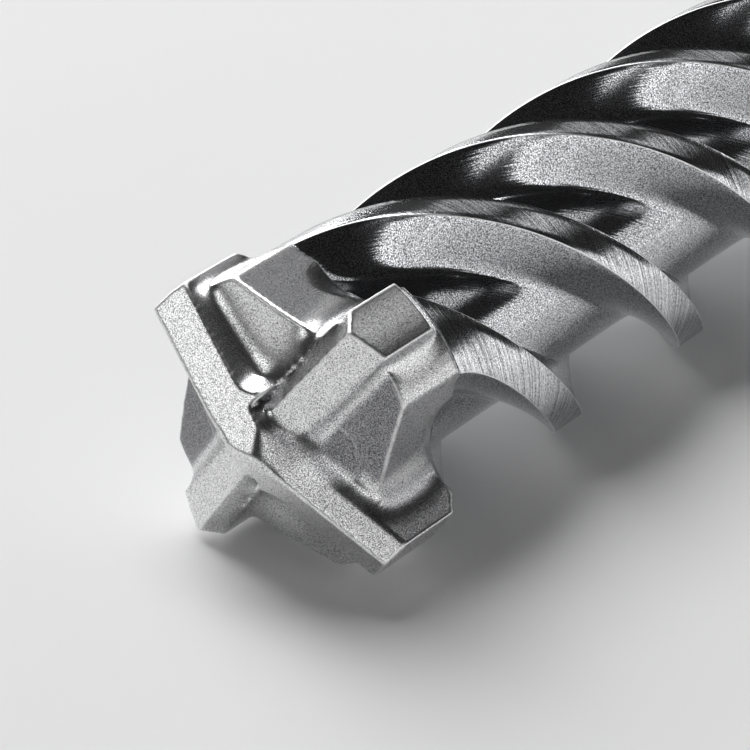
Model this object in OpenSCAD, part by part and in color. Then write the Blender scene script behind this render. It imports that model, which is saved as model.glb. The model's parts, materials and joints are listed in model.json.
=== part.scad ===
// Hammer drill bit with a solid carbide cross head, a four-start helix and a slotted shank.
// The bit lies on its helix along Y, tip at the -Y end, with its origin on the floor below its middle.
// Its modules are written along Z, with the tip at the origin and the shank at +Z.

/* [Overall] */
// Length from the tip to the end of the shank
total_length = 210; // [190:5:300]
// Diameter over the four cutting blades
head_d = 16; // [15.4:0.1:17.4]
// Diameter over the lands of the helix
helix_d = 14.5; // [13.8:0.1:15]
// Diameter of the core between the flutes
core_d = 9; // [8:0.1:9.6]
// Turn of the bit about its axis as it lies
lie_turn = 37; // [30:1:60]

/* [Cutting head] */
// Angle between the two main cutting edges
point_angle = 148; // [138:1:154]
// Slope of each flank behind its cutting edge
relief_angle = 24; // [20:1:28]
// Angle of the bevel in front of each cutting edge, from the axis
bevel_angle = 40; // [34:1:46]
// Thickness of a blade
blade_t = 2.8; // [2.4:0.1:3.2]
// Distance of each cutting edge from the middle plane of its blade
edge_offset = 0.5; // [0.3:0.05:0.7]
// Angle between the two auxiliary cutting edges
aux_angle = 163; // [156:1:168]
// How far the outer corners of the auxiliary edges sit behind those of the main ones
aux_setback = 0.17; // [0.05:0.01:0.5]
// Distance from the tip back to the shoulder between the blades
shoulder_z = 3.55; // [3.2:0.05:4]
// Slope of the shoulder towards the middle
shoulder_angle = 12; // [6:1:16]
// Distance from the tip back to the rear end of the blades
blade_len = 6.7; // [6:0.1:7.2]
// Distance from the tip back to the joint with the steel body
head_len = 7.8; // [7.6:0.1:9]
// Radius where a blade meets the shoulder
root_r = 0.7; // [0.4:0.1:1]
// Radius in the corners between neighbouring blades
corner_r = 1.3; // [0.8:0.1:1.6]
// Distance from the axis to the flat side of each gully
gully_flat = 5.68; // [5.4:0.02:6]
// Direction of the flat side of each gully, from the blade in front of it
gully_turn = 66; // [60:1:70]
// Radius in the corner of each gully
gully_r = 1.6; // [1:0.1:2.2]

// Distance from the tip at which a flute begins on the flat side of its gully
flute_start = 6.1; // [5.6:0.1:6.8]
// Distance of that point from the middle of the flat side
start_offset = 2.1; // [1.6:0.1:2.6]
// Radius of the groove in which a flute begins
start_r = 3; // [2.4:0.1:3.6]
// Angle at which that groove dips below the flat side
start_dip = 19; // [14:1:24]
// Angle at which that groove leans from the axis
start_lean = 24; // [18:1:30]

/* [Helix] */
// Advance of a land in one full turn
lead = 43.5; // [36:0.5:55]
// Width of a land along the axis
land_w = 2.25; // [2:0.05:2.8]
// Distance from the tip at which the front edge of a land passes its blade
land_start = 6.1; // [5.6:0.1:6.5]
// Angle over which the wall facing the tip falls from a land to the core
front_wall = 14; // [11:1:19]
// The same angle where the flute meets the head
first_wall = 20; // [16:1:24]
// Angle over which the wall facing the shank falls from a land to the core
rear_wall = 11; // [7:1:16]
// Radius of the flute floor where it meets the head
settle_r = 5.1; // [4.8:0.05:5.4]
// Length over which the floor falls from there to the core
settle_len = 4; // [2:0.5:6]
// Distance from the tip to where the flutes begin to run out
flute_len = 142; // [110:1:150]
// Length of the run-out of the flutes
runout_len = 12; // [8:1:16]
// Diameter of the collar behind the flutes
collar_d = 11.4; // [11:0.1:12]

/* [Shank] */
// Diameter of the shank
shank_d = 10; // [9.8:0.1:10.2]
// Length of each open drive slot
slot_len = 28; // [24:0.5:32]
// Width of each open drive slot
slot_w = 3; // [2.4:0.1:3.4]
// Distance between the floors of the two drive slots
slot_floor = 6.8; // [6.4:0.1:7.6]
// Length of each closed locking recess
recess_len = 19; // [16:0.5:22]
// Distance from the end of the shank to a locking recess
recess_from_end = 9; // [7:0.5:11]
// Diameter of the ball groove that forms a locking recess
recess_d = 5; // [4.4:0.1:5.2]
// Distance between the floors of the two locking recesses
recess_floor = 7.2; // [6.8:0.1:8]
// Chamfer at the end of the shank
end_chamfer = 1.2; // [0.6:0.1:1.6]

/* [Hidden] */
starts = 4;
pitch_angle = 360 / starts;
head_r = head_d / 2;
helix_r = helix_d / 2;
core_r = core_d / 2;
collar_r = collar_d / 2;
shank_r = shank_d / 2;
half_t = blade_t / 2;
edge_slope = 1 / tan(point_angle / 2);
aux_slope = 1 / tan(aux_angle / 2);
relief_slope = tan(relief_angle);
bevel_slope = 1 / tan(bevel_angle);
shoulder_slope = tan(shoulder_angle);
// length of the ramps at the rear end of the blades and behind the collar
ramp_len = head_r - helix_r;
// half the width of a block that is larger than the whole head
far = 20;
round_fn = 96;

// everything behind a plane that falls back by along per millimetre of X and across per millimetre of Y
module behind(z0, along, across) {
    tilt = -atan(along);
    translate([0, 0, z0]) rotate([atan(across * cos(tilt)), tilt, 0])
        translate([-far, -far, 0]) cube(2 * far);
}

// a child and its copy half a turn round, met in the solid that both leave
module for_both_ends() {
    intersection() {
        children();
        rotate(180) children();
    }
}

// everything behind the flanks and the front bevels of a pair of blades along X
module behind_edges(z0, slope) {
    for_both_ends() intersection() {
        behind(z0, slope, relief_slope);
        behind(z0 - edge_offset * (bevel_slope + relief_slope), slope, -bevel_slope);
    }
}

// a pair of blades along X, with fillets in the corners between it and the other pair if it is the main one
module blade_pair(z0, slope, corners = false) {
    intersection() {
        union() {
            cylinder(r = head_r, h = blade_len, $fn = round_fn);
            translate([0, 0, blade_len])
                cylinder(r1 = head_r, r2 = helix_r, h = ramp_len, $fn = round_fn);
        }
        linear_extrude(head_len) union() {
            translate([-head_r, -half_t]) square([head_d, blade_t]);
            if (corners) for (i = [0:starts - 1]) rotate(i * pitch_angle) translate([half_t, half_t])
                hollow_corner(corner_r);
        }
        behind_edges(z0, slope);
    }
}

// what fills a square corner up to a round of radius r
module hollow_corner(r) {
    difference() {
        translate([-0.1, -0.1]) square(r + 0.1);
        translate([r, r]) circle(r, $fn = 48);
    }
}

// the fillet along the foot of the blade along X, on the side towards the next one
module foot_fillet() {
    toe = half_t + root_r;
    outer = sqrt(helix_r * helix_r - toe * toe);
    inner = half_t + corner_r;
    foot_slope = shoulder_slope * (helix_r - norm([inner, toe])) / (outer - inner);
    translate([0, half_t, shoulder_z - outer * foot_slope]) rotate([0, -atan(foot_slope), 0])
        mirror([0, 0, 1]) rotate([90, 0, 90]) linear_extrude(head_r) hollow_corner(root_r);
}

// outline of one gully between the blade along X and the next one along Y
module gully_outline() {
    corner = [half_t, (gully_flat - half_t * cos(gully_turn)) / sin(gully_turn)];
    run = [sin(gully_turn), -cos(gully_turn)];
    opening = 90 + (90 - gully_turn);
    reach = gully_r / tan(opening / 2);
    centre = corner + [gully_r, reach];
    difference() {
        polygon([corner, corner + far * run, corner + far * (run + [0, 1]), corner + [0, far]]);
        difference() {
            polygon([corner, corner + reach * run, centre, corner + [0, reach]]);
            translate(centre) circle(gully_r, $fn = 48);
        }
    }
}

// the round groove in which a flute begins on the flat side of its gully
module flute_start() {
    rotate(gully_turn) translate([gully_flat, -start_offset, flute_start]) rotate([-start_lean, 0, 0])
        rotate([0, -start_dip, 0]) translate([start_r, 0, -start_r]) cylinder(r = start_r, h = 3 * start_r, $fn = 64);
}

// the round block of carbide that carries the blades, with a gully behind each blade
module crown() {
    difference() {
        intersection() {
            union() {
                translate([0, 0, shoulder_z]) cylinder(r = helix_r, h = head_len - shoulder_z, $fn = round_fn);
                translate([0, 0, shoulder_z - helix_r * shoulder_slope])
                    cylinder(r1 = 0, r2 = helix_r, h = helix_r * shoulder_slope, $fn = round_fn);
                for (i = [0:starts - 1]) rotate(i * pitch_angle) {
                    foot_fillet();
                    mirror([0, 1, 0]) foot_fillet();
                }
            }
            cylinder(r = helix_r, h = head_len, $fn = round_fn);
        }
        for (i = [0:starts - 1]) rotate(i * pitch_angle) {
            linear_extrude(3 * head_len, center = true) gully_outline();
            flute_start();
        }
    }
}

module head() {
    color("#8f8f90") union() {
        blade_pair(0, edge_slope, corners = true);
        rotate(90) blade_pair(aux_setback + head_r * (edge_slope - aux_slope), aux_slope);
        crown();
    }
}

// angle of the rear edge of a land at a distance z from the tip, and of its front edge
function rear_edge(z) = 360 * (z - land_start - land_w) / lead;
function helix_edge(z) = max(0, 360 * (z - land_start) / lead);
// the front edge leaves the flat side of its gully and runs smoothly into the helix
gully_edge = gully_turn - acos(gully_flat / helix_r);
function front_edge(z) = pow(pow(gully_edge, 3) + pow(helix_edge(z), 3), 1 / 3);

// radius of the lands and of the flute floor, which meet at the collar behind the flutes;
// the floor also rises a little towards the head
function fade(z) = max(0, min(1, (z - flute_len) / runout_len));
function land_r(z) = helix_r + (collar_r - helix_r) * fade(z);
function settle(z) = pow(max(0, 1 - (z - head_len) / settle_len), 2);
function floor_r(z) = core_r + (collar_r - core_r) * pow(fade(z), 1.5) + (settle_r - core_r) * settle(z);

// one land with its two walls and the floor behind it, as points at a distance z from the tip
function land_points(z, turn) = let (
        a = rear_edge(z),
        b = front_edge(z),
        wall = front_wall + (first_wall - front_wall) * settle(z),
        c = b + wall,
        d = a + pitch_angle - rear_wall,
        low = floor_r(z),
        high = land_r(z),
        deep = high - low
    ) [
        for (p = [
            [low + 0.3 * deep, a - 0.75 * rear_wall],
            [high, a],
            for (i = [1:3]) [high, a + (b - a) * i / 3],
            [high - 0.32 * deep, b + 0.2 * wall],
            [high - 0.64 * deep, b + 0.44 * wall],
            [low + 0.11 * deep, b + 0.72 * wall],
            for (i = [0:3]) [low, c + (d - c) * i / 3]
        ])
            [p[0] * cos(p[1] + turn), p[0] * sin(p[1] + turn), z]
    ];

function section(z) = [for (i = [0:starts - 1]) each land_points(z, i * pitch_angle)];

// a closed solid through a list of sections that have the same number of points
module skin(sections) {
    count = len(sections[0]);
    last = len(sections) - 1;
    polyhedron(
        points = [for (s = sections) each s],
        faces = [
            [for (i = [0:count - 1]) i],
            for (j = [0:last - 1], i = [0:count - 1]) let (
                    k = (i + 1) % count,
                    near = j * count,
                    next = near + count
                )
                each [[near + i, next + i, near + k], [next + i, next + k, near + k]],
            [for (i = [count - 1:-1:0]) last * count + i]
        ]
    );
}

// the fluted part from the joint with the head to the collar
module helix() {
    length = flute_len + runout_len - head_len;
    count = ceil(length * 32 / lead);
    skin([for (i = [0:count]) section(head_len + length * i / count)]);
}

module shank() {
    start = flute_len + runout_len;
    difference() {
        union() {
            translate([0, 0, start - 2]) cylinder(r = shank_r, h = total_length - end_chamfer - start + 2, $fn = round_fn);
            translate([0, 0, total_length - end_chamfer])
                cylinder(r1 = shank_r, r2 = shank_r - end_chamfer, h = end_chamfer, $fn = round_fn);
        }
        for (side = [0, 180]) rotate(side) {
            translate([slot_floor / 2, -slot_w / 2, total_length - slot_len]) cube([shank_r, slot_w, slot_len + 1]);
            rotate(90) translate([recess_floor / 2 + recess_d / 2, 0, total_length - recess_from_end - recess_len])
                cylinder(d = recess_d, h = recess_len, $fn = 48);
        }
    }
}

module body() {
    color("#5b5e60") union() {
        helix();
        shank();
    }
}

// the bit as it lies: its axis along Y at the height of the helix radius
module lying() {
    translate([0, -total_length / 2, helix_r]) rotate([-90, 0, 0]) rotate(lie_turn) children();
}

lying() head();
lying() body();
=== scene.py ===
import json
import math
import bmesh
import bpy
import numpy as np
from mathutils import Euler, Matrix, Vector
from mathutils.bvhtree import BVHTree

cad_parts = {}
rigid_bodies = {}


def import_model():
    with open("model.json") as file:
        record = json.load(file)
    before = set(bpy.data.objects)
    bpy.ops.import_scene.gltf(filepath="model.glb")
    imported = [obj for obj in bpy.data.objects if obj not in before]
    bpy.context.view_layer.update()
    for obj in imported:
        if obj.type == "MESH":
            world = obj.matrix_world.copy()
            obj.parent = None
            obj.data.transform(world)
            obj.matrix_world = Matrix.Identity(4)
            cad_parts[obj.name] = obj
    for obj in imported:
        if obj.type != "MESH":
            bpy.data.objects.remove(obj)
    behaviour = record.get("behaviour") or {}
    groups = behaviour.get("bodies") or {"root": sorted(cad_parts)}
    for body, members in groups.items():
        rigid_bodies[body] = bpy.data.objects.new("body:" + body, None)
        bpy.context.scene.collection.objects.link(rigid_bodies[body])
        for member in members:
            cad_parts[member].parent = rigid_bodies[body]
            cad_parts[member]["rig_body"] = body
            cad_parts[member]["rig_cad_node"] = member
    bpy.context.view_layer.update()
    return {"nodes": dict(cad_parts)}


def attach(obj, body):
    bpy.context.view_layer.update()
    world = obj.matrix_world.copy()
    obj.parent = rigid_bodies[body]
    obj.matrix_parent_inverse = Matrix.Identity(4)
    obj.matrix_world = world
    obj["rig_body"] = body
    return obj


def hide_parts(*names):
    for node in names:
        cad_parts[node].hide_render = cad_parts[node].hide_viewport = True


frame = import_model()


# Carbide head
# The cross head is one block of tungsten carbide, pressed, sintered and then ground on its cutting
# faces. Its sides keep a fine blasted skin, and its edges are a little rounded so that they don't
# chip. It is brazed to the front of the steel body.

AXIS_HEIGHT = 0.00725
NOISE_SPAN = (0.35, 0.65)


def node_group(name, inputs, outputs):
    group = bpy.data.node_groups.new(name, "ShaderNodeTree")
    for label, kind, value in inputs:
        socket = group.interface.new_socket(label, in_out="INPUT", socket_type=kind)
        if value is not None:
            socket.default_value = value
    for label, kind in outputs:
        group.interface.new_socket(label, in_out="OUTPUT", socket_type=kind)
    return group, group.nodes.new("NodeGroupInput"), group.nodes.new("NodeGroupOutput")


def maths(tree, operation, first, second=0.0):
    node = tree.nodes.new("ShaderNodeMath")
    node.operation = operation
    for socket, value in zip(node.inputs, (first, second)):
        if isinstance(value, (int, float)):
            socket.default_value = value
        else:
            tree.links.new(value, socket)
    return node.outputs[0]


def mapped(tree, value, start, full, low=0.0, high=1.0, kind="LINEAR"):
    node = tree.nodes.new("ShaderNodeMapRange")
    node.interpolation_type = kind
    limits = {"From Min": start, "From Max": full, "To Min": low, "To Max": high}
    for label, limit in limits.items():
        node.inputs[label].default_value = limit
    tree.links.new(value, node.inputs["Value"])
    return node.outputs["Result"]


def mixed(tree, share, first, second, kind="MIX"):
    node = tree.nodes.new("ShaderNodeMix")
    node.data_type = "RGBA"
    node.blend_type = kind
    for label, value in (("Factor", share), ("A", first), ("B", second)):
        if isinstance(value, (float, tuple)):
            node.inputs[label].default_value = value
        else:
            tree.links.new(value, node.inputs[label])
    return node.outputs["Result"]


def blasted_grain():
    pit_scale, pit_share = 0.37, 0.6
    group, given, result = node_group(
        "blasted grain",
        [("Vector", "NodeSocketVector", None), ("Grain size", "NodeSocketFloat", 0.0001)],
        [("Height", "NodeSocketFloat"), ("Speckle", "NodeSocketFloat")],
    )
    scale = maths(group, "DIVIDE", 1.0, given.outputs["Grain size"])
    fine = group.nodes.new("ShaderNodeTexNoise")
    fine.inputs["Detail"].default_value = 1.0
    fine.inputs["Roughness"].default_value = 0.6
    group.links.new(given.outputs["Vector"], fine.inputs["Vector"])
    group.links.new(scale, fine.inputs["Scale"])
    pits = group.nodes.new("ShaderNodeTexNoise")
    pits.inputs["Detail"].default_value = 1.0
    group.links.new(given.outputs["Vector"], pits.inputs["Vector"])
    group.links.new(maths(group, "MULTIPLY", scale, pit_scale), pits.inputs["Scale"])
    deep = maths(group, "MULTIPLY", pits.outputs["Fac"], pit_share)
    group.links.new(maths(group, "ADD", fine.outputs["Fac"], deep), result.inputs["Height"])
    group.links.new(fine.outputs["Fac"], result.inputs["Speckle"])
    return group


grain = blasted_grain()


# rings about the bit's axis, as a grinding wheel leaves them on a turning piece
def ground_rings():
    breaks_per_metre = 400.0
    group, given, result = node_group(
        "ground rings",
        [("Vector", "NodeSocketVector", None), ("Pitch", "NodeSocketFloat", 0.0001)],
        [("Height", "NodeSocketFloat")],
    )
    pitch = given.outputs["Pitch"]
    split = group.nodes.new("ShaderNodeSeparateXYZ")
    group.links.new(given.outputs["Vector"], split.inputs["Vector"])
    side = split.outputs["X"]
    rise = maths(group, "SUBTRACT", split.outputs["Z"], AXIS_HEIGHT)
    square = maths(group, "ADD", maths(group, "MULTIPLY", side, side),
                   maths(group, "MULTIPLY", rise, rise))
    radius = maths(group, "SQRT", square)
    join = group.nodes.new("ShaderNodeCombineXYZ")
    group.links.new(maths(group, "DIVIDE", radius, pitch), join.inputs["X"])
    group.links.new(maths(group, "DIVIDE", split.outputs["Y"], pitch), join.inputs["Y"])
    group.links.new(maths(group, "MULTIPLY", side, breaks_per_metre), join.inputs["Z"])
    lines = group.nodes.new("ShaderNodeTexNoise")
    lines.inputs["Scale"].default_value = 1.0
    lines.inputs["Detail"].default_value = 1.0
    group.links.new(join.outputs["Vector"], lines.inputs["Vector"])
    group.links.new(lines.outputs["Fac"], result.inputs["Height"])
    return group


rings = ground_rings()


def mark_mask(tree, name, start, full):
    mark = tree.nodes.new("ShaderNodeAttribute")
    mark.attribute_name = name
    return mapped(tree, mark.outputs["Fac"], start, full)


def metal(name, colour, roughness, grain_size, relief, contrast,
          ring_pitch=None, ring_share=1.0, marked=False):
    material = bpy.data.materials.new(name)
    material.use_nodes = True
    tree = material.node_tree
    shader = tree.nodes["Principled BSDF"]
    shader.inputs["Metallic"].default_value = 1.0
    place = tree.nodes.new("ShaderNodeTexCoord")
    skin = tree.nodes.new("ShaderNodeGroup")
    skin.node_tree = grain
    skin.inputs["Grain size"].default_value = grain_size
    tree.links.new(place.outputs["Object"], skin.inputs["Vector"])
    speckle, height = skin.outputs["Speckle"], skin.outputs["Height"]
    if ring_pitch:
        marks = tree.nodes.new("ShaderNodeGroup")
        marks.node_tree = rings
        marks.inputs["Pitch"].default_value = ring_pitch
        tree.links.new(place.outputs["Object"], marks.inputs["Vector"])
        lines = marks.outputs["Height"]
        height = maths(tree, "ADD", height, maths(tree, "MULTIPLY", lines, ring_share))
        blend = min(0.4, 0.25 * ring_share)
        speckle = maths(tree, "ADD", maths(tree, "MULTIPLY", speckle, 1 - blend),
                        maths(tree, "MULTIPLY", lines, blend))
    tone = mapped(tree, speckle, *NOISE_SPAN, 1.0 - contrast, 1.0 + 0.6 * contrast)
    tint = mixed(tree, 1.0, (*colour, 1.0), tone, "MULTIPLY")
    blur = mapped(tree, speckle, *NOISE_SPAN, roughness + 0.05, roughness - 0.04)
    if marked:
        worn = mark_mask(tree, "worn", 0.35, 1.0)
        hollow = mark_mask(tree, "hollow", 0.12, 0.5)
        # the 'pressed' mark darkens the recessed walls and two shoulders, partly for their pressed
        # skin and partly as painted shade
        skin_and_painted_shade = mark_mask(tree, "pressed", 0.0, 1.0)
        # in the hollows most of that darkening is lifted, a painted highlight in the concave
        # fillets
        outside_hollow_highlight = maths(tree, "SUBTRACT", 1.0, maths(tree, "MULTIPLY", hollow, 0.7))
        darkening_skin_and_shade = maths(tree, "MULTIPLY", skin_and_painted_shade, outside_hollow_highlight)
        tint = mixed(tree, darkening_skin_and_shade, tint, (0.3, 0.3, 0.31, 1.0), "MULTIPLY")
        tint = mixed(tree, worn, tint, (0.95, 0.95, 0.95, 1.0))
        for mark, rise in ((skin_and_painted_shade, 0.04), (worn, 0.3), (hollow, 0.22)):
            blur = maths(tree, "ADD", blur, maths(tree, "MULTIPLY", mark, rise))
        coarse = maths(tree, "ADD", 1.0, maths(tree, "MULTIPLY", hollow, 1.6))
        height = maths(tree, "MULTIPLY", height, coarse)
    tree.links.new(tint, shader.inputs["Base Color"])
    tree.links.new(blur, shader.inputs["Roughness"])
    bump = tree.nodes.new("ShaderNodeBump")
    bump.name = "relief"
    bump.inputs["Strength"].default_value = 1.0
    bump.inputs["Distance"].default_value = relief
    tree.links.new(height, bump.inputs["Height"])
    tree.links.new(bump.outputs["Normal"], shader.inputs["Normal"])
    return material


def only(piece):
    bpy.ops.object.select_all(action="DESELECT")
    piece.select_set(True)
    bpy.context.view_layer.objects.active = piece


def copy_of(node, name):
    piece = frame["nodes"][node].copy()
    piece.data = piece.data.copy()
    piece.name = piece.data.name = name
    piece.parent = None
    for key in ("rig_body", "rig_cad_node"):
        if key in piece:
            del piece[key]
    bpy.context.scene.collection.objects.link(piece)
    only(piece)
    bpy.ops.object.mode_set(mode="EDIT")
    bpy.ops.mesh.select_all(action="SELECT")
    bpy.ops.mesh.remove_doubles(threshold=0.000002)
    bpy.ops.object.mode_set(mode="OBJECT")
    return piece


# a net is the two ends of each edge and the number of neighbours of each vertex
def net_of(first, second, count):
    near = np.bincount(first, minlength=count) + np.bincount(second, minlength=count)
    return first, second, np.maximum(near, 1)


def mean_round(values, net):
    first, second, near = net
    count = len(near)
    total = np.bincount(first, values[second], count) + np.bincount(second, values[first], count)
    return total / near


def pull(points, net):
    return np.stack([mean_round(points[:, k], net) for k in range(3)], 1) - points


def outward(mesh, place):
    mesh.vertices.foreach_set("co", place.ravel())
    mesh.update()
    out = np.empty(place.size)
    mesh.vertices.foreach_get("normal", out)
    return out.reshape(-1, 3)


def read_mesh(mesh):
    place = np.empty(len(mesh.vertices) * 3)
    mesh.vertices.foreach_get("co", place)
    ends = np.empty(len(mesh.edges) * 2, dtype=int)
    mesh.edges.foreach_get("vertices", ends)
    return place.reshape(-1, 3), net_of(ends[0::2], ends[1::2], len(mesh.vertices))


# how far each vertex is from the short corner between the inner end of a rear blade and the front
# blade, looking along the bit
def gap_to_corner(place):
    gap = np.full(len(place), 1.0)
    flat = place[:, (0, 2)]
    for side in (1, -1):
        start = np.array([0.0027 * side, AXIS_HEIGHT - 0.0002 * side])
        way = np.array([0.0009 * side, AXIS_HEIGHT + 0.0011 * side]) - start
        along = np.clip(((flat - start) @ way) / (way @ way), 0, 1)
        gap = np.minimum(gap, np.hypot(*(flat - start - along[:, None] * way).T))
    return gap


# fills that corner, and then evens out its deepest part
def fill_corner(mesh, place, net):
    first, second, near = net
    weight = np.exp(-(gap_to_corner(place) / 0.00095) ** 2) * (place[:, 1] < -0.1015)
    middle = weight > 0.02
    inner = np.flatnonzero(middle)
    slot_of = np.full(len(place), -1)
    slot_of[inner] = np.arange(len(inner))
    held = middle[first] & middle[second]
    inner_net = net_of(slot_of[first[held]], slot_of[second[held]], len(inner))
    strength = 0.7 * weight[inner] * (inner_net[2] >= near[inner])
    spot = place[inner]
    for turn in range(1500):
        if turn % 60 == 0:
            place[inner] = spot
            out = outward(mesh, place)[inner]
        rise = (pull(spot, inner_net) * out).sum(1)
        spot += (strength * np.clip(rise, 0, None))[:, None] * out
    across, above = 0.00175, 0.00045
    pit = np.minimum(
        np.hypot(spot[:, 0] - across, spot[:, 2] - AXIS_HEIGHT - above),
        np.hypot(spot[:, 0] + across, spot[:, 2] - AXIS_HEIGHT + above),
    )
    strength = 0.7 * np.exp(-(pit / 0.00065) ** 2) * (weight[inner] > 0.1)
    for turn in range(200):
        spot += strength[:, None] * pull(spot, inner_net)
    place[inner] = spot


# lays material into the hollow corners, as the press leaves them, and marks the worn edges and the
# hollows, where the shader paints a highlight; it fades out ahead of the joint face, which stays as
# it is
def soften(piece, keep_behind):
    mesh = piece.data
    place, net = read_mesh(mesh)
    for turn in range(3):
        loose = place[:, 1] < keep_behind + 0.0004
        place += 0.5 * pull(place, net) * loose[:, None]
    share = np.clip((keep_behind - place[:, 1]) / 0.0012, 0, 1)
    for turn in range(300):
        if turn % 10 == 0:
            out = outward(mesh, place)
        rise = (pull(place, net) * out).sum(1)
        place += (0.6 * np.clip(rise, 0, None) * share)[:, None] * out
    fill_corner(mesh, place, net)
    bend = (pull(place, net) * outward(mesh, place)).sum(1)
    for turn in range(2):
        bend = 0.5 * bend + 0.5 * mean_round(bend, net)
    for name, amount in (("worn", -bend), ("hollow", bend)):
        mark = mesh.attributes.new(name, "FLOAT", "POINT")
        mark.data.foreach_set("value", amount / 0.00001)
    return net


# marks how much each place is darkened, partly for the pressed skin that it keeps and partly as
# painted shade on the recessed side walls and two of the four shoulders; the flanks, bevels, outer
# faces and the other two shoulders are ground
def mark_skin_and_shade(piece, net):
    flat, sloped = 20, 60
    source = frame["nodes"]["head"].data
    shape = BVHTree.FromPolygons([v.co for v in source.vertices],
                                 [p.vertices for p in source.polygons])
    skin = []
    for face in source.polygons:
        at = math.degrees(math.atan2(face.center.z - AXIS_HEIGHT, face.center.x))
        tilt = math.degrees(math.acos(max(-1, min(1, -face.normal.y))))
        turn = math.degrees(math.atan2(face.normal.z, face.normal.x))
        if tilt < flat:
            skin.append(1.0 if (at + 10) % 180 < 50 else 0.0)
        elif tilt < sloped:
            skin.append(0.0)
        else:
            faces_out = abs((turn - at + 180) % 360 - 180) < 6
            skin.append(0.0 if faces_out else 0.6)
    values = np.array([skin[shape.find_nearest(v.co)[2]] for v in piece.data.vertices])
    for turn in range(10):
        values = 0.5 * values + 0.5 * mean_round(values, net)
    mark = piece.data.attributes.new("pressed", "FLOAT", "POINT")
    mark.data.foreach_set("value", values)


head = copy_of("head", "carbide_head")
pressed = head.modifiers.new("pressed", "REMESH")
pressed.mode = "VOXEL"
pressed.voxel_size = 0.0001
head.data.materials.clear()
head.data.materials.append(metal(
    "sintered carbide", (0.9, 0.9, 0.91), roughness=0.25, grain_size=0.00005, relief=0.0000035,
    contrast=0.75, ring_pitch=0.00008, ring_share=0.14, marked=True))
bpy.ops.object.modifier_apply(modifier="pressed")
mark_skin_and_shade(head, soften(head, keep_behind=-0.0975))
bpy.ops.object.shade_smooth()
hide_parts("head")
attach(head, "root")


# Steel body
# The body is turned from one bar of tool steel. Its four flutes are milled and blasted, its lands
# are ground round, and the shank behind them is ground to fit the chuck, with slots and ball
# recesses.

LENGTH, HELIX_R, CORE_R, COLLAR_R = 0.210, 0.00725, 0.0045, 0.0057
HEAD_LEN, FLUTE_LEN, RUNOUT, LEAD = 0.0078, 0.142, 0.012, 0.0435
BEND_START, REAR_LAG = 0.0061, 0.00225
GULLY_SIDE, GULLY_TURN = 0.00568, 66
LIE_TURN = 37
STARTS = 4
FLUTE, LAND, EDGE = 0, 1, 2


def land_edges(z):
    rear = 360 * (z - BEND_START - REAR_LAG) / LEAD
    along = max(0.0, 360 * (z - BEND_START) / LEAD)
    gully = GULLY_TURN - math.degrees(math.acos(GULLY_SIDE / HELIX_R))
    return rear, (gully ** 3 + along ** 3) ** (1 / 3)


# points round one flute and one land, each with the finish of the strip that follows it
def flute_ring(z):
    fade = max(0.0, min(1.0, (z - FLUTE_LEN) / RUNOUT))
    settle = max(0.0, 1 - (z - HEAD_LEN) / 0.004) ** 2
    high = HELIX_R + (COLLAR_R - HELIX_R) * fade
    low = CORE_R + (COLLAR_R - CORE_R) * fade ** 1.5 + (0.0051 - CORE_R) * settle
    deep = high - low
    rear, front = land_edges(z)
    nick = 0.00005 * (1 - fade)
    turn = math.degrees(nick / HELIX_R)
    top = front - rear - 2 * turn
    rear_wall, front_wall = 11, 14 + 6 * settle

    def drop(t, steep, corner):
        return deep * steep * t / (1 + (steep * t) ** corner) ** (1 / corner)

    points = [(high - drop(t, 1.2, 8), rear - rear_wall * t, FLUTE)
              for t in (1.5, 1.2, 1.0, 0.85, 0.7, 0.45, 0.2)]
    points += [(high - nick, rear - 0.2 * turn, EDGE),
               (high - 0.3 * nick, rear + 0.4 * turn, EDGE)]
    points += [(high, rear + turn + top * i / 4, EDGE if i == 4 else LAND) for i in range(5)]
    points += [(high - 0.3 * nick, front - 0.4 * turn, EDGE),
               (high - nick, front + 0.2 * turn, FLUTE)]
    points += [(high - drop(t, 1.5, 6), front + front_wall * t, FLUTE)
               for t in (0.08, 0.2, 0.32, 0.42, 0.5, 0.57, 0.64, 0.71, 0.79, 0.88, 1.0, 1.15, 1.35)]
    last = front + 1.35 * front_wall
    ends = rear + 360 / STARTS - 1.5 * rear_wall
    points += [(low, last + (ends - last) * i / 7, FLUTE) for i in range(1, 7)]
    return points


# the distance round the bar of each point of a ring, for the milling lines
def ring_lengths(pattern):
    widths = [0.0]
    first = (pattern[0][0], pattern[0][1] + 360 / STARTS, FLUTE)
    for (r0, a0, _), (r1, a1, _) in zip(pattern, pattern[1:] + [first]):
        step = math.hypot(r1 - r0, math.radians(a1 - a0) * (r0 + r1) / 2)
        widths.append(widths[-1] + step)
    whole = widths[-1]
    return [whole * start + w for start in range(STARTS) for w in widths[:-1]] + [whole * STARTS]


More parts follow.
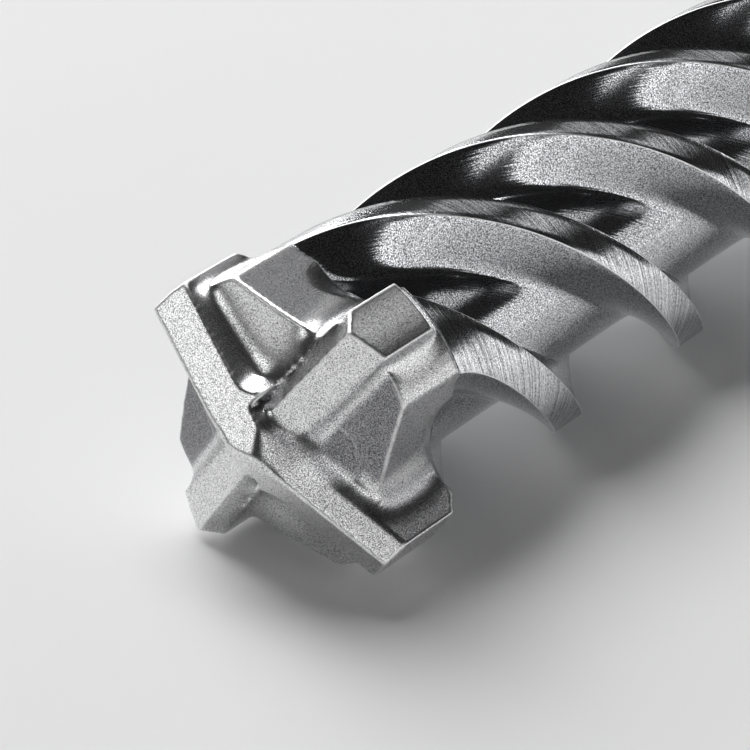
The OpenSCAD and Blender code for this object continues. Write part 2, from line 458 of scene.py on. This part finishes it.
def fluted_bar():
    mesh = bmesh.new()
    across = mesh.loops.layers.uv.new("across and along")
    steps = 420
    pattern = flute_ring(0.06)
    tags = [tag for radius, angle, tag in pattern] * STARTS
    around = ring_lengths(pattern)
    loops_of = []
    for j in range(steps + 1):
        z = HEAD_LEN + (FLUTE_LEN + RUNOUT - HEAD_LEN) * j / steps
        ring = []
        for start in range(STARTS):
            for radius, angle, tag in flute_ring(z):
                a = math.radians(angle + 360 / STARTS * start + LIE_TURN)
                x, height = radius * math.cos(a), AXIS_HEIGHT - radius * math.sin(a)
                ring.append(mesh.verts.new((x, z - LENGTH / 2, height)))
        loops_of.append((z, ring))
    count = len(tags)
    for (z0, near), (z1, far) in zip(loops_of, loops_of[1:]):
        for i in range(count):
            k = (i + 1) % count
            face = mesh.faces.new((near[i], near[k], far[k], far[i]))
            face.material_index = tags[i]
            corners = ((i, z0), (i + 1, z0), (i + 1, z1), (i, z1))
            for loop, (column, z) in zip(face.loops, corners):
                loop[across].uv = (around[column], z)
    mesh.faces.new(list(reversed(loops_of[0][1])))
    mesh.faces.new(loops_of[-1][1])
    bmesh.ops.recalc_face_normals(mesh, faces=mesh.faces)
    data = bpy.data.meshes.new("fluted_bar")
    mesh.to_mesh(data)
    mesh.free()
    piece = bpy.data.objects.new("fluted_bar", data)
    bpy.context.scene.collection.objects.link(piece)
    return piece


# fine lines that the milling cutter leaves along the flute
def add_milling_lines(material, share):
    tree = material.node_tree
    spread = tree.nodes.new("ShaderNodeUVMap")
    spread.uv_map = "across and along"
    stretch = tree.nodes.new("ShaderNodeMapping")
    stretch.inputs["Scale"].default_value = (9000, 160, 1)
    tree.links.new(spread.outputs["UV"], stretch.inputs["Vector"])
    lines = tree.nodes.new("ShaderNodeTexNoise")
    lines.inputs["Scale"].default_value = 1.0
    lines.inputs["Detail"].default_value = 0.0
    tree.links.new(stretch.outputs["Vector"], lines.inputs["Vector"])
    bump = tree.nodes["relief"]
    grainy = bump.inputs["Height"].links[0].from_socket
    cut = maths(tree, "MULTIPLY", lines.outputs["Fac"], share)
    tree.links.new(maths(tree, "ADD", grainy, cut), bump.inputs["Height"])


bar = fluted_bar()
only(bar)
bpy.ops.object.shade_smooth_by_angle(angle=math.radians(40))

milled = metal("milled and blasted flute", (0.62, 0.63, 0.65), roughness=0.13,
               grain_size=0.00006, relief=0.0000018, contrast=0.9)
add_milling_lines(milled, share=2.0)
bar.data.materials.append(milled)
bar.data.materials.append(metal(
    "ground land", (0.72, 0.73, 0.75), roughness=0.17, grain_size=0.00006, relief=0.0000028,
    contrast=0.9, ring_pitch=0.00007, ring_share=1.7))
bar.data.materials.append(metal(
    "worn edge", (0.95, 0.95, 0.95), roughness=0.4, grain_size=0.0001, relief=0.000001,
    contrast=0.1))
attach(bar, "root")

# the shank is the CAD body cut off where the flutes end, with its edges broken
shank = copy_of("body", "ground_shank")
SHANK_EDGE = math.radians(24)
cut_at = FLUTE_LEN + RUNOUT - LENGTH / 2 - 0.00002
bpy.ops.object.mode_set(mode="EDIT")
bpy.ops.mesh.select_all(action="SELECT")
bpy.ops.mesh.bisect(plane_co=(0, cut_at, 0), plane_no=(0, 1, 0), clear_inner=True, use_fill=True)
bpy.ops.mesh.select_all(action="SELECT")
bpy.ops.mesh.dissolve_limited(angle_limit=math.radians(1))
bpy.ops.object.mode_set(mode="OBJECT")
bevel = shank.modifiers.new("broken edges", "BEVEL")
bevel.width = 0.00012
bevel.segments = 2
bevel.limit_method = "ANGLE"
bevel.angle_limit = SHANK_EDGE
bpy.ops.object.modifier_apply(modifier="broken edges")
bpy.ops.object.shade_smooth_by_angle(angle=SHANK_EDGE)
even = shank.modifiers.new("even shading", "WEIGHTED_NORMAL")
even.weight = 80
even.keep_sharp = True
bpy.ops.object.modifier_apply(modifier="even shading")
shank.data.materials.clear()
shank.data.materials.append(metal(
    "ground steel", (0.58, 0.59, 0.61), roughness=0.26, grain_size=0.00008, relief=0.000002,
    contrast=0.3, ring_pitch=0.00009, ring_share=2.0))
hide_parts("body")
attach(shank, "root")


# Floor
# A plain pale table top that the bit lies on. The camera and the metal see it a little brighter
# than its lamps make it, a painted glow, most on the side in shadow and far away, so that the bit's
# shadow there is painted lighter.
bpy.ops.mesh.primitive_plane_add(size=6, location=(0, 0, 0))
floor = bpy.context.object
floor.name = "floor"
paper = bpy.data.materials.new("pale paper")
paper.use_nodes = True
tree = paper.node_tree
surface = tree.nodes["Principled BSDF"]
surface.inputs["Base Color"].default_value = (0.86, 0.86, 0.86, 1)
surface.inputs["Roughness"].default_value = 0.9
surface.inputs["Emission Color"].default_value = (1, 1, 1, 1)
light_path = tree.nodes.new("ShaderNodeLightPath")
seen = light_path.outputs["Is Camera Ray"]
for ray in ("Is Glossy Ray", "Is Transmission Ray"):
    seen = maths(tree, "MAXIMUM", seen, light_path.outputs[ray])
place = tree.nodes.new("ShaderNodeTexCoord")
split = tree.nodes.new("ShaderNodeSeparateXYZ")
tree.links.new(place.outputs["Object"], split.inputs["Vector"])
distance = tree.nodes.new("ShaderNodeVectorMath")
distance.operation = "LENGTH"
tree.links.new(place.outputs["Object"], distance.inputs[0])
# painted glow that lifts the bit's cast shadow on the +X side, and brightens the floor far away
shadow_side = mapped(tree, split.outputs["X"], 0.014, 0.07, 0.03, 0.42, "SMOOTHSTEP")
far_away = mapped(tree, distance.outputs["Value"], 0.25, 1.0, 0.03, 0.5, "SMOOTHSTEP")
glow = maths(tree, "MULTIPLY", seen, maths(tree, "MAXIMUM", shadow_side, far_away))
tree.links.new(glow, surface.inputs["Emission Strength"])
floor.data.materials.append(paper)


# Lamps
# Soft boxes round the table, each aimed at the head of the bit, in a dim grey room.
LIT_POINT = Vector((0, -0.085, 0.007))
LAMP_DISTANCE = 0.8


def soft_box(name, azimuth, elevation, width, height, power):
    a, e = math.radians(azimuth), math.radians(elevation)
    back = Vector((math.sin(a) * math.cos(e), -math.cos(a) * math.cos(e), math.sin(e)))
    lamp = bpy.data.lights.new(name, "AREA")
    lamp.shape = "RECTANGLE"
    lamp.size, lamp.size_y = width, height
    lamp.energy = power
    holder = bpy.data.objects.new(name, lamp)
    holder.location = LIT_POINT + back * LAMP_DISTANCE
    holder.rotation_mode = "QUATERNION"
    holder.rotation_quaternion = (-back).to_track_quat("-Z", "Y")
    bpy.context.scene.collection.objects.link(holder)


soft_box("left rear low box", -118, 11, 0.42, 0.28, 2.9)
soft_box("left rear high box", -115, 62, 0.5, 0.66, 5.6)
soft_box("rear low box", -178, 6, 0.25, 0.2, 0.5)
soft_box("front left box", -34, 20, 0.4, 0.25, 0.42)
soft_box("front right box", 46, 18, 0.24, 0.36, 0.3)
soft_box("right low box", 68, 7, 0.36, 0.18, 0.26)
soft_box("right box", 118, 8, 0.7, 0.22, 0.5)
soft_box("rear right box", 158, 41, 0.3, 0.2, 0.11)
soft_box("rear left box", -160, 38, 0.3, 0.3, 0.1)

world = bpy.data.worlds.new("studio")
world.use_nodes = True
room = world.node_tree.nodes["Background"]
room.inputs["Color"].default_value = (0.5, 0.5, 0.5, 1)
room.inputs["Strength"].default_value = 0.04
bpy.context.scene.world = world


# Camera
# It looks down on the tip from the right, as in the photograph.
camera_data = bpy.data.cameras.new("camera")
camera_data.lens = 189.8
camera_data.sensor_width = 36
camera_data.clip_start = 0.01
camera = bpy.data.objects.new("camera", camera_data)
camera.location = (0.09686, -0.22599, 0.09589)
camera.rotation_euler = Euler([math.radians(angle) for angle in (61.379, -0.469, 36.693)])
bpy.context.scene.collection.objects.link(camera)
bpy.context.scene.camera = camera
bpy.context.scene.view_settings.view_transform = "Standard"
